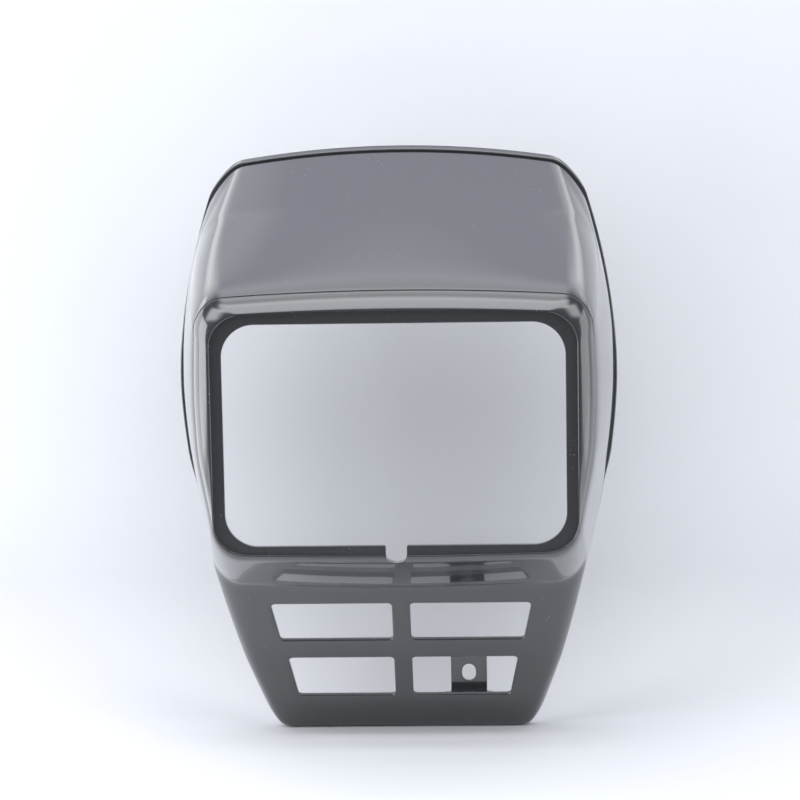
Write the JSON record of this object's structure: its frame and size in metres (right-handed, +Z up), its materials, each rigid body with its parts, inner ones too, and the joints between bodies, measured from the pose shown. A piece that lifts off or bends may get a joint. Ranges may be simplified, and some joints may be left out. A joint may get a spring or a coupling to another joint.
{
  "type": "motorcycle headlamp fairing",
  "caption": "One-piece moulded headlamp fairing: round-cornered lamp opening with a recessed seat, swept-back hood, vented chin and an inner mounting lug.",
  "frame": {"origin": "centre of the lamp opening, in the plane of the shell's front edge", "axes": "+X to the viewer's right, +Y to the rear of the motorcycle, +Z up"},
  "size_m": [0.2258, 0.095, 0.3081],
  "materials": {
    "black_plastic": "gloss black moulded ABS with fine dust and faint rubbing marks"
  },
  "bodies": {
    "root": {"fairing": "black_plastic"}
  },
  "joints": []
}
